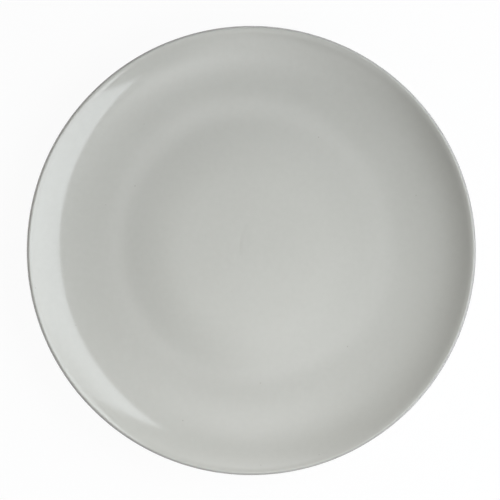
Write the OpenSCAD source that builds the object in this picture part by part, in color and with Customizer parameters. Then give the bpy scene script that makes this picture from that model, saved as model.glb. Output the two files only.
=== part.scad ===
// Coupe dinner plate in glazed stoneware: one curve from a flat middle up to a rounded lip.
// The origin is the centre of the foot ring's standing plane, with +Z up, in millimetres.
// Each piece is a half outline turned about Z.

/* [Plate] */
// Diameter over the lip
plate_d = 270; // [220:1:320]
// Height from the table to the top of the lip
plate_h = 24; // [19:0.5:32]
// Diameter of the flat middle, where the face's curve begins
flat_d = 120; // [80:1:150]
// Thickness of the floor, glaze included
floor_t = 4.8; // [3.6:0.1:7]
// Steepest slope of the face, at the end of its curve, in degrees
face_slope = 38; // [32:1:50]
// Slope of the back where it meets the lip, in degrees
back_slope = 44; // [38:1:55]

/* [Lip] */
// Thickness of the lip's round nose
lip_t = 2.8; // [2:0.1:4]
// Radius of the shoulder that eases the face over into the nose
shoulder_r = 14; // [6:0.5:18]
// Slope of the face where the shoulder runs into the nose, in degrees
nose_slope = 26; // [15:1:30]

/* [Foot ring] */
// Outer diameter of the bare foot ring
foot_d = 161; // [130:1:185]
// Width of the foot ring
foot_w = 4.4; // [3:0.1:8]
// Height of the floor's underside above the table, outside the ring
foot_h = 2.6; // [2:0.1:5]
// Depth of the recess inside the ring
recess_h = 2.8; // [2:0.1:4]
// Radius of the cove where the ring grows out of the underside
cove_r = 1.5; // [0.8:0.1:1.8]
// Radius of the ring's two standing edges
foot_edge_r = 0.6; // [0.2:0.1:1]

/* [Glaze] */
// Thickness of the glaze on the face, the back and the recess
glaze_t = 0.4; // [0.25:0.05:0.8]
// Thickness of the glaze on the lip, where it runs thin
lip_glaze_t = 0.25; // [0.15:0.05:0.4]
// Thickness of the wiped end of the glaze at the foot ring
glaze_end_t = 0.15; // [0.1:0.05:0.3]

/* [Hidden] */
$fn = 180;
// Straight steps along a wall curve, the shoulder, half of the nose and a small radius
wall_steps = 36;
shoulder_steps = 4;
nose_steps = 10;
cove_steps = 8;

flat_r = flat_d / 2;
foot_r = foot_d / 2;
foot_in_r = foot_r - foot_w;
face_z = foot_h + floor_t;
nose_r = lip_t / 2;
nose_x = plate_d / 2 - nose_r;
nose_z = plate_h - nose_r;

// The shoulder is tangent to the nose at nose_slope and to the face's curve at face_slope.
shoulder_x = nose_x + (shoulder_r - nose_r) * sin(nose_slope);
shoulder_z = nose_z - (shoulder_r - nose_r) * cos(nose_slope);
face_end_x = shoulder_x - shoulder_r * sin(face_slope);
face_end_z = shoulder_z + shoulder_r * cos(face_slope);
back_end_x = nose_x + nose_r * sin(back_slope);
back_end_z = nose_z - nose_r * cos(back_slope);
nose_mid = (nose_slope + back_slope) / 2;

// The coves are limited by the height of the ring's bare flanks. The back is level up to the
// outer cove, and lifts off outside it.
outer_cove_r = min(cove_r, foot_h - foot_edge_r);
inner_cove_r = min(cove_r, recess_h - foot_edge_r);
outer_cove_x = foot_r + glaze_end_t + outer_cove_r;
inner_cove_x = foot_in_r - glaze_end_t - inner_cove_r;

// A skin is a run of [x, z, outward x, outward z, glaze thickness] on the finished surface.
// Each run starts at its first step, because the run before it ends at its start.

// An arc's side is 1 where the piece lies inside its circle and -1 where it lies outside.
function skin_arc(x, z, r, from, to, side, t_from, t_to, steps, first = 1) =
    [for (i = [first:steps])
        let (a = from + (to - from) * i / steps,
             t = t_from + (t_to - t_from) * (1 - cos(180 * i / steps)) / 2)
        [x + r * cos(a), z + r * sin(a), side * cos(a), side * sin(a), t]];

// A wall curve leaves the level at [x, z] and rises as a power of the way out to [end_x, end_z],
// where it has the end slope. Its side is 1 on the face and -1 on the back.
function skin_curve(x, z, end_x, end_z, end_slope, side, backward = false) =
    let (power = (end_x - x) * tan(end_slope) / (end_z - z))
    [for (i = [1:wall_steps])
        let (way = (backward ? wall_steps - i : i) / wall_steps,
             lean = atan(tan(end_slope) * way ^ (power - 1)))
        [x + (end_x - x) * way, z + (end_z - z) * way ^ power,
         -side * sin(lean), side * cos(lean), glaze_t]];

// Half outline of the finished surface, and of the clay under its glaze
function finished(skin) = [for (p = skin) [p[0], p[1]]];
function under_glaze(skin) = [for (p = skin) [p[0] - p[4] * p[2], p[1] - p[4] * p[3]]];
function backwards(points) = [for (i = [len(points) - 1:-1:0]) points[i]];

// From the middle of the face out over the lip, down the back and into the foot ring's cove
upper_skin = concat(
    [[0, face_z, 0, 1, glaze_t], [flat_r, face_z, 0, 1, glaze_t]],
    skin_curve(flat_r, face_z, face_end_x, face_end_z, face_slope, 1),
    skin_arc(shoulder_x, shoulder_z, shoulder_r, 90 + face_slope, 90 + nose_slope, 1,
             glaze_t, glaze_t, shoulder_steps),
    skin_arc(nose_x, nose_z, nose_r, 90 + nose_slope, nose_mid, 1, glaze_t, lip_glaze_t, nose_steps),
    skin_arc(nose_x, nose_z, nose_r, nose_mid, back_slope - 90, 1, lip_glaze_t, glaze_t, nose_steps),
    skin_curve(outer_cove_x, foot_h, back_end_x, back_end_z, back_slope, -1, true),
    skin_arc(outer_cove_x, foot_h - outer_cove_r, outer_cove_r, 90, 180, -1,
             glaze_t, glaze_end_t, cove_steps));

// From the middle of the recess out into the foot ring's inner cove
base_skin = concat(
    [[0, recess_h, 0, -1, glaze_t], [inner_cove_x, recess_h, 0, -1, glaze_t]],
    skin_arc(inner_cove_x, recess_h - inner_cove_r, inner_cove_r, 90, 0, -1,
             glaze_t, glaze_end_t, cove_steps));

// The foot ring's bare edges, from the outer flank round to the inner one
bare_foot = concat(
    skin_arc(foot_r - foot_edge_r, foot_edge_r, foot_edge_r, 0, -90, 1, 0, 0, cove_steps, 0),
    skin_arc(foot_in_r + foot_edge_r, foot_edge_r, foot_edge_r, -90, -180, 1, 0, 0, cove_steps, 0));

module glaze_coat(skin) {
    rotate_extrude()
        polygon(concat(finished(skin), backwards(under_glaze(skin))));
}

// Fired stoneware body, turned in one piece with its foot ring
module clay_body() {
    color([0.83, 0.79, 0.72])
        rotate_extrude()
            polygon(concat(under_glaze(upper_skin), finished(bare_foot),
                           backwards(under_glaze(base_skin))));
}

// Glaze over the face, the lip and the back, thin on the lip and wiped off the foot ring
module upper_glaze() {
    color([0.76, 0.77, 0.74])
        glaze_coat(upper_skin);
}

// Glaze inside the foot ring
module base_glaze() {
    color([0.75, 0.76, 0.73])
        glaze_coat(base_skin);
}

clay_body();
upper_glaze();
base_glaze();
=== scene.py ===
import math
import bpy
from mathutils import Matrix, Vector


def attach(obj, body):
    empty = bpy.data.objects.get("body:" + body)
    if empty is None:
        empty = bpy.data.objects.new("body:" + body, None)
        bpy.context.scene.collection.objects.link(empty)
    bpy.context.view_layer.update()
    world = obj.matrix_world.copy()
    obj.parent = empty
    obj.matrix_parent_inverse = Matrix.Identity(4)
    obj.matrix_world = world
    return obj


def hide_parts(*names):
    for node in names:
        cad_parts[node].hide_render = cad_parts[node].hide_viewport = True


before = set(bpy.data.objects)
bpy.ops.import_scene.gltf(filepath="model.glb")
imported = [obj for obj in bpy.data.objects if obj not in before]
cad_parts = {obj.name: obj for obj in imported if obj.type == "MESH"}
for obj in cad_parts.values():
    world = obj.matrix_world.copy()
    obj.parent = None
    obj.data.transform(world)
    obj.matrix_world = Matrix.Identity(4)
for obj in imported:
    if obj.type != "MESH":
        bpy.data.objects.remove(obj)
bpy.ops.object.select_all(action="DESELECT")
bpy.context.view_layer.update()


# Clay body
# A disc of grey-white stoneware clay, pressed and turned to one curve from a flat middle up to
# the lip, and trimmed to a narrow foot ring. The ring is the only clay that stays bare.
plate_r = 0.135
plate_h = 0.024
face_slope = math.radians(38)
back_slope = math.radians(44)
nose_r = 0.0014
nose_slope = math.radians(26)
shoulder_r = 0.014
foot_r = 0.0805
foot_in_r = 0.0761
foot_h = 0.0026
recess_h = 0.0028
cove_r = 0.0015
foot_edge_r = 0.0006
glaze_t = 0.0004
lip_glaze_t = 0.00025
glaze_end_t = 0.00015
turns = 192

nose_x = plate_r - nose_r
nose_z = plate_h - nose_r
shoulder_x = nose_x + (shoulder_r - nose_r) * math.sin(nose_slope)
shoulder_z = nose_z - (shoulder_r - nose_r) * math.cos(nose_slope)
face_end_x = shoulder_x - shoulder_r * math.sin(face_slope)
face_end_z = shoulder_z + shoulder_r * math.cos(face_slope)
back_end_x = nose_x + nose_r * math.sin(back_slope)
back_end_z = nose_z - nose_r * math.cos(back_slope)
nose_mid = (nose_slope + back_slope) / 2
outer_cove_x = foot_r + glaze_end_t + cove_r
inner_cove_x = foot_in_r - glaze_end_t - cove_r


def level_skin(z, start, end, side, steps):
    """A level run of the finished surface, as points of place, outward direction and glaze."""
    return [(start + (end - start) * i / steps, z, 0, side, glaze_t) for i in range(steps + 1)]


def curved_skin(x, z, end_x, end_z, end_slope, side, steps):
    """The wall leaves the level at x, z and steepens as a power of the way out."""
    power = (end_x - x) * math.tan(end_slope) / (end_z - z)
    points = []
    for i in range(1, steps + 1):
        way = i / steps
        lean = math.atan(math.tan(end_slope) * way ** (power - 1))
        points.append((x + (end_x - x) * way, z + (end_z - z) * way ** power,
                       -side * math.sin(lean), side * math.cos(lean), glaze_t))
    return points


def round_skin(x, z, r, start, end, side, t_start, t_end, steps, first=1):
    """An arc of the finished surface, whose glaze runs smoothly from one thickness to another."""
    points = []
    for i in range(first, steps + 1):
        turn = start + (end - start) * i / steps
        coat = t_start + (t_end - t_start) * (1 - math.cos(math.pi * i / steps)) / 2
        points.append((x + r * math.cos(turn), z + r * math.sin(turn),
                       side * math.cos(turn), side * math.sin(turn), coat))
    return points


# Slope of the pressed face in degrees at each radius: faint turning marks in the middle, a shallow
# dish, a low shoulder round it, a soft crease at the edge of the well, and a wall that turns up
# towards the lip.
face_slopes = [(0, 0), (0.0055, 0.5), (0.0080, -0.1), (0.0105, 0.6), (0.014, 0.4), (0.022, 0.6),
               (0.033, 0.5), (0.036, 1.2), (0.042, 1.1), (0.050, 0.4), (0.058, -0.8), (0.066, -1.0),
               (0.0705, -0.8), (0.0735, -0.3), (0.0785, 2.0), (0.0798, 3.1), (0.0818, 3.5),
               (0.086, 5.2), (0.089, 6.5), (0.092, 7.7), (0.095, 8.9), (0.099, 10.5), (0.103, 12.1),
               (0.109, 15.0), (0.116, 19.8), (0.120, 24.7), (0.124, 29.7), (0.127, 33.5),
               (face_end_x, 38), (0.134, 42.4)]
# Runs of rings that the face is drawn with: start, end and how many.
face_rings = [(0, 0.016, 20), (0.016, 0.072, 45), (0.072, 0.084, 26), (0.084, face_end_x, 56)]


def face_rise(x):
    """Rise of the face at radius x, with the corners of the table rounded over 2 mm."""
    total = weights = 0
    for step in range(-24, 25):
        reach = abs(x + step * 0.0001)
        weight = math.exp(-(step / 11) ** 2)
        for (near, slope), (far, next_slope) in zip(face_slopes, face_slopes[1:]):
            if near <= reach <= far:
                total += weight * (slope + (next_slope - slope) * (reach - near) / (far - near))
                break
        weights += weight
    return math.tan(math.radians(total / weights))


def face_skin():
    """The face from its middle to the end of its curve, its heights summed inwards from the lip."""
    radii = [0.0] + [start + (end - start) * (i + 1) / count
                     for start, end, count in face_rings for i in range(count)]
    z = face_end_z
    points = []
    for x, outer_x in zip(radii[::-1], [face_end_x] + radii[::-1]):
        z -= (outer_x - x) * face_rise((x + outer_x) / 2)
        lean = math.atan(face_rise(x)) if x else 0.0
        points.append((x, z, -math.sin(lean), math.cos(lean), glaze_t))
    return points[::-1]


quarter = math.pi / 2
upper_skin = face_skin()
upper_skin += round_skin(shoulder_x, shoulder_z, shoulder_r, quarter + face_slope,
                         quarter + nose_slope, 1, glaze_t, glaze_t, 8)
upper_skin += round_skin(nose_x, nose_z, nose_r, quarter + nose_slope, nose_mid, 1,
                         glaze_t, lip_glaze_t, 9)
upper_skin += round_skin(nose_x, nose_z, nose_r, nose_mid, back_slope - quarter, 1,
                         lip_glaze_t, glaze_t, 9)
upper_skin += curved_skin(outer_cove_x, foot_h, back_end_x, back_end_z, back_slope, -1, 48)[-2::-1]
upper_skin += level_skin(foot_h, outer_cove_x, outer_cove_x, -1, 1)[1:]
upper_skin += round_skin(outer_cove_x, foot_h - cove_r, cove_r, quarter, math.pi, -1,
                         glaze_t, glaze_end_t, 8)
base_skin = level_skin(recess_h, 0, inner_cove_x, -1, 36)
base_skin += round_skin(inner_cove_x, recess_h - cove_r, cove_r, quarter, 0, -1,
                        glaze_t, glaze_end_t, 8)
bare_foot = round_skin(foot_r - foot_edge_r, foot_edge_r, foot_edge_r, 0, -quarter, 1, 0, 0, 6, 0)
bare_foot += round_skin(foot_in_r + foot_edge_r, foot_edge_r, foot_edge_r, -quarter, -math.pi, 1,
                        0, 0, 6, 0)


def finished(skin):
    return [(x, z) for x, z, out_x, out_z, coat in skin]


def under_glaze(skin):
    return [(x - coat * out_x, z - coat * out_z) for x, z, out_x, out_z, coat in skin]


def turn_outline(name, outline):
    """Draws a half outline point by point from a single corner and spins it about the plate's axis."""
    start_x, start_z = outline[0]
    bpy.ops.mesh.primitive_plane_add(size=0.001, location=(start_x, 0, start_z))
    bpy.ops.object.transform_apply(location=True, rotation=False, scale=False)
    piece = bpy.context.object
    piece.name = piece.data.name = name
    bpy.ops.object.mode_set(mode="EDIT")
    bpy.ops.mesh.select_all(action="SELECT")
    bpy.ops.mesh.merge(type="CENTER")
    bpy.ops.mesh.select_mode(type="VERT")
    for (x, z), (next_x, next_z) in zip(outline, outline[1:]):
        bpy.ops.mesh.extrude_region_move(TRANSFORM_OT_translate={"value": (next_x - x, 0, next_z - z)})
    bpy.ops.mesh.select_all(action="SELECT")
    bpy.ops.mesh.spin(steps=turns, angle=2 * math.pi, center=(0, 0, 0), axis=(0, 0, 1))
    bpy.ops.mesh.select_all(action="SELECT")
    bpy.ops.mesh.remove_doubles(threshold=0.000005)
    bpy.ops.mesh.normals_make_consistent(inside=False)
    bpy.ops.object.mode_set(mode="OBJECT")
    bpy.ops.object.shade_smooth()
    return piece


# The mark that the forming tool leaves as it lifts from the middle of the face: the points of a
# shallow curved groove, its half width and its depth.
groove = [(-0.0041, 0.0146), (-0.0060, 0.0100), (-0.0069, 0.0055), (-0.0071, 0.0010),
          (-0.0070, -0.0012)]
groove_w = 0.0013
groove_t = 0.0001


def press_groove(piece):
    """Sinks the groove into every surface of the piece that follows the face."""
    for vertex in piece.data.vertices:
        x, y, z = vertex.co
        if z > recess_h + 0.001 and math.hypot(x, y) < 0.024:
            near = min(math.hypot(x - a - (c - a) * i / 8, y - b - (d - b) * i / 8)
                       for (a, b), (c, d) in zip(groove, groove[1:]) for i in range(9))
            vertex.co.z -= groove_t * math.exp(-(near / groove_w) ** 2)


clay_body = turn_outline("Clay_body", under_glaze(upper_skin) + finished(bare_foot)
                         + under_glaze(base_skin)[::-1])
press_groove(clay_body)


class Mix:
    """One socket of a clay or glaze recipe. Arithmetic on it adds Math nodes."""

    def __init__(self, tree, socket=None):
        self.tree, self.socket = tree, socket

    def add(self, kind, settings=None, inputs=None, output=0):
        """Adds a node, sets it, then fills its sockets with values or with other Mix sockets."""
        made = self.tree.nodes.new(kind)
        for key, value in (settings or {}).items():
            setattr(made, key, value)
        for key, value in (inputs or {}).items():
            if isinstance(value, Mix):
                self.tree.links.new(value.socket, made.inputs[key])
            else:
                made.inputs[key].default_value = value
        return Mix(self.tree, made.outputs[output])

    def maths(self, operation, first, second=0.0):
        return self.add("ShaderNodeMath", {"operation": operation}, {0: first, 1: second})

    def __add__(self, other): return self.maths("ADD", self, other)
    def __radd__(self, other): return self.maths("ADD", other, self)
    def __sub__(self, other): return self.maths("SUBTRACT", self, other)
    def __rsub__(self, other): return self.maths("SUBTRACT", other, self)
    def __mul__(self, other): return self.maths("MULTIPLY", self, other)
    def __rmul__(self, other): return self.maths("MULTIPLY", other, self)
    def __pow__(self, other): return self.maths("POWER", self, other)

    def band(self, low, high):
        """0 below low, 1 above high, smooth between."""
        return self.add("ShaderNodeMapRange", {"interpolation_type": "SMOOTHSTEP"},
                        {"Value": self, "From Min": low, "From Max": high})

    def blend(self, first, second):
        """Mixes two colours by this socket."""
        made = self.add("ShaderNodeMix", {"data_type": "RGBA"}, {0: self}, output=2)
        for index, shade in ((6, first), (7, second)):
            if isinstance(shade, Mix):
                self.tree.links.new(shade.socket, made.socket.node.inputs[index])
            else:
                made.socket.node.inputs[index].default_value = (*shade, 1)
        return made


def start_recipe(name):
    """A new material: its Mix, its Principled BSDF node and its Object coordinates."""
    material = bpy.data.materials.new(name)
    material.use_nodes = True
    mix = Mix(material.node_tree)
    surface = material.node_tree.nodes["Principled BSDF"]
    place = mix.add("ShaderNodeTexCoord", output=3)
    return material, mix, surface, place


def feed(mix, surface, socket, value):
    mix.tree.links.new(value.socket, surface.inputs[socket])


def grain(mix, place, scale, detail=2.0, roughness=0.5, offset=0.0):
    """Fine noise, read at the piece's own coordinates moved aside by the offset."""
    moved = mix.add("ShaderNodeMapping", None, {"Vector": place, "Location": (offset, 0, 0)})
    return mix.add("ShaderNodeTexNoise", None,
                   {"Vector": moved, "Scale": scale, "Detail": detail, "Roughness": roughness})


clay, mix, surface, place = start_recipe("Bare_stoneware")
sand = grain(mix, place, 900, 4)
patches = grain(mix, place, 60, 3)
feed(mix, surface, "Base Color", (sand * 0.6 + patches * 0.4).band(0.3, 0.7)
     .blend((0.50, 0.44, 0.36), (0.68, 0.62, 0.53)))
feed(mix, surface, "Roughness", 0.78 + sand * 0.14)
feed(mix, surface, "Normal", mix.add("ShaderNodeBump", None, {
    "Strength": 0.5, "Distance": 0.00012, "Height": sand}))
clay_body.data.materials.append(clay)
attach(clay_body, "root")
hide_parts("clay_body")


# Base glaze
# The glaze inside the foot ring, poured in and swirled round, and wiped off the ring before
# firing.
base_glaze = turn_outline("Base_glaze", finished(base_skin) + under_glaze(base_skin)[::-1])

# The glaze drifts between two shades, and between two paler ones that paint light into the middle of the
# upper coat's well.
glaze_shades = (0.549, 0.542, 0.498), (0.569, 0.562, 0.518)
painted_light_shades = (0.579, 0.572, 0.525), (0.600, 0.593, 0.545)
# The lip's dark shade, for thin glaze together with painted shade.
thin_lip_and_shade = (0.40, 0.39, 0.37)
speck_shade = (0.27, 0.24, 0.19)
# Radii between which the painted light of the well fades out, and between which the coat darkens on the
# lip, where it runs thin and painted shade is added.
painted_light_fade = 0.040, 0.078
thin_lip_and_shade_fade = nose_x - 0.0002, nose_x + 0.0007


def mix_glaze(name, upper):
    """The soft grey-white gloss glaze. The upper coat has painted light in the well and painted shade on
    its thin lip.
    """
    glaze, mix, surface, place = start_recipe(name)
    cloud = grain(mix, place, 14, 3)
    mottle = grain(mix, place, 260, 3, 0.6, 3.0)
    darker, lighter = glaze_shades
    if upper:
        across, along = [mix.add("ShaderNodeSeparateXYZ", None, {0: place}, output=axis)
                         for axis in (0, 1)]
        reach = (across ** 2 + along ** 2) ** 0.5
        # Painted light: the middle of the well is painted paler.
        painted_light_well = 1 - reach.band(*painted_light_fade)
        darker = painted_light_well.blend(darker, painted_light_shades[0])
        lighter = painted_light_well.blend(lighter, painted_light_shades[1])
    shade = (cloud * 0.5 + mottle * 0.5).band(0.3, 0.7).blend(darker, lighter)
    if upper:
        # The lip is darker where the glaze runs thin, and darker still from painted shade.
        thin_and_shade = reach.band(*thin_lip_and_shade_fade) * (0.75 + mottle * 0.5)
        shade = thin_and_shade.blend(shade, thin_lip_and_shade)
    cells = {"Vector": place, "Scale": 170, "Randomness": 1.0}
    speck_field = mix.add("ShaderNodeTexVoronoi", None, cells)
    speck_pick = mix.add("ShaderNodeTexVoronoi", None, cells, output=1)
    chosen = mix.add("ShaderNodeSeparateColor", None, {"Color": speck_pick}).band(0.94, 0.95)
    speck = (1 - speck_field.band(0.03, 0.09)) * chosen * 0.5
    shade = speck.blend(shade, speck_shade)
    feed(mix, surface, "Base Color", shade)
    feed(mix, surface, "Roughness", 0.10 + mottle * 0.03)
    surface.inputs["IOR"].default_value = 1.54
    feed(mix, surface, "Normal", mix.add("ShaderNodeBump", None, {
        "Strength": 0.15, "Distance": 0.00002, "Height": mottle}))
    return glaze


base_glaze.data.materials.append(mix_glaze("Base_glaze_coat", False))
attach(base_glaze, "root")
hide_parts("base_glaze")


# Upper glaze
# One coat over the face, the lip and the back, dipped and fired. It runs thin over the lip and
# stops in the cove above the bare ring.
upper_glaze = turn_outline("Upper_glaze", finished(upper_skin) + under_glaze(upper_skin)[::-1])
press_groove(upper_glaze)
upper_glaze.data.materials.append(mix_glaze("Upper_glaze_coat", True))
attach(upper_glaze, "root")
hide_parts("upper_glaze")


# Floor, camera and lamps
# A white sweep under the plate, a camera straight above it, a near softbox low on the right,
# whose reflection is the crescent in the left wall, five soft lights over and before the plate,
# a glowing card at the left, and the faint light of a white room.
bpy.ops.mesh.primitive_plane_add(size=8, location=(0, 0, -0.0001))
floor = bpy.context.object
floor.name = "Floor"
paper_glow = 0.94
paper = bpy.data.materials.new("White_paper")
paper.use_nodes = True
mix = Mix(paper.node_tree)
seen = mix.add("ShaderNodeLightPath", output="Is Camera Ray")
paper_dull = mix.add("ShaderNodeBsdfDiffuse", None, {"Color": (0.9, 0.9, 0.9, 1)})
paper_white = mix.add("ShaderNodeEmission", None, {"Color": (1, 1, 1, 1), "Strength": 1.0})
paper_mix = mix.add("ShaderNodeMixShader", None, {0: seen * paper_glow, 1: paper_dull, 2: paper_white})
paper.node_tree.links.new(paper_mix.socket, paper.node_tree.nodes["Material Output"].inputs["Surface"])
floor.data.materials.append(paper)

# Each glow of the room, as its bearing in degrees from the plate's right, its height in degrees,
# how tight it is and how bright.
room_glows = [(90, 4, 14, 3.3), (120, 4, 14, 0.5), (90, 70, 40, 1.5)]
world = bpy.data.worlds.new("Studio")
bpy.context.scene.world = world
world.use_nodes = True
mix = Mix(world.node_tree)
sky = mix.add("ShaderNodeTexCoord")
room = 0.0
for bearing, height, tightness, strength in room_glows:
    around, up = math.radians(bearing), math.radians(height)
    toward = (math.cos(up) * math.cos(around), math.cos(up) * math.sin(around), math.sin(up))
    facing = mix.add("ShaderNodeVectorMath", {"operation": "DOT_PRODUCT"}, {0: sky, 1: toward}, "Value")
    room = room + mix.maths("EXPONENT", (facing - 1) * tightness) * strength
white = mix.add("ShaderNodeLightPath", output="Is Camera Ray").blend(room, (1, 1, 1))
world.node_tree.links.new(white.socket, world.node_tree.nodes["Background"].inputs["Color"])

# How far the dim corner of the softbox reaches, and how much of its glow is gone there.
dim_reach = 0.38
dim_depth = 0.65


def hang_glow(name, cloth, radiance, tint=(1, 1, 1), soft=False, dim_corner=None):
    """Makes a cloth glow. A soft one fades from its middle and lets other light through. The glow
    is weaker around a dim corner."""
    cloth.name = name
    glow = bpy.data.materials.new(name)
    glow.use_nodes = True
    mix = Mix(glow.node_tree)
    place = mix.add("ShaderNodeTexCoord", output=3)
    strength = radiance
    if soft:
        away = mix.add("ShaderNodeVectorMath", {"operation": "LENGTH"}, {0: place}, "Value")
        strength = mix.maths("EXPONENT", away ** 2 * -1) * radiance
    if dim_corner:
        gap = mix.add("ShaderNodeVectorMath", {"operation": "DISTANCE"}, {0: place, 1: dim_corner}, "Value")
        strength = (1 - mix.maths("EXPONENT", (gap * (1 / dim_reach)) ** 2 * -1) * dim_depth) * radiance
    shine = mix.add("ShaderNodeEmission", None, {"Color": (*tint, 1), "Strength": strength})
    if soft:
        shine = mix.add("ShaderNodeAddShader", None, {0: shine, 1: mix.add("ShaderNodeBsdfTransparent")})
    glow.node_tree.links.new(shine.socket, glow.node_tree.nodes["Material Output"].inputs["Surface"])
    cloth.data.materials.append(glow)
    cloth.visible_camera = False


target = Vector((0, 0, 0.02))
key_bearing, key_height, key_away = math.radians(5), math.radians(35), 0.9
key_out = Vector((math.cos(key_height) * math.cos(key_bearing),
                  math.cos(key_height) * math.sin(key_bearing), math.sin(key_height)))
key_side = Vector((-math.sin(key_bearing), math.cos(key_bearing), 0))
key_up = key_out.cross(key_side)
key_outline = [(-0.925, 0.392), (-0.467, 0.381), (-0.134, 0.414), (0.100, 0.452), (0.359, 0.513),
               (0.690, 0.545), (0.605, -0.180), (-0.270, -0.240), (-0.970, -0.080)]
bpy.ops.mesh.primitive_circle_add(vertices=len(key_outline), radius=0.1, fill_type="NGON")
softbox = bpy.context.object
for vertex, (a, b) in zip(softbox.data.vertices, key_outline):
    vertex.co = target + key_out * key_away + key_side * a + key_up * b
hang_glow("Key_softbox", softbox, 3.55, (0.95, 1.0, 1.05), dim_corner=softbox.data.vertices[6].co)

# Soft lights turned to the plate: the middle of each, its spread both ways and its brightness.
soft_lights = [((0.04, -0.13, 1.5), 0.11, 0.15, 1.5),
               ((-0.246, -0.426, 0.364), 0.15, 0.15, 1.15), ((0.0, -0.491, 0.364), 0.15, 0.15, 1.75),
               ((0.0, -0.3, 0.54), 0.15, 0.15, 1.2), ((0.15, -0.26, 0.54), 0.15, 0.15, 1.4)]
for number, (middle, across, along, radiance) in enumerate(soft_lights, 1):
    facing = (Vector(middle) - target).to_track_quat("Z", "Y").to_euler()
    bpy.ops.mesh.primitive_circle_add(vertices=48, radius=2.2, fill_type="NGON",
                                      location=middle, rotation=facing)
    bpy.context.object.scale = (across, along, 1)
    hang_glow("Soft_light_%d" % number, bpy.context.object, radiance, soft=True)

# A glowing white card lying on the floor at the left, which lights the outside of the lip there.
bpy.ops.mesh.primitive_plane_add(size=1, location=(-0.40, 0, 0.0005))
bpy.context.object.scale = (0.46, 0.6, 1)
hang_glow("White_card", bpy.context.object, 4.0)

camera_data = bpy.data.cameras.new("Camera")
camera_data.sensor_width = 36
camera_data.lens = 152.9
camera_data.clip_start = 0.05
camera = bpy.data.objects.new("Camera", camera_data)
bpy.context.collection.objects.link(camera)
camera.location = (-0.00075, 0.00032, 1.299)
bpy.context.scene.camera = camera
bpy.context.scene.view_settings.view_transform = "Standard"
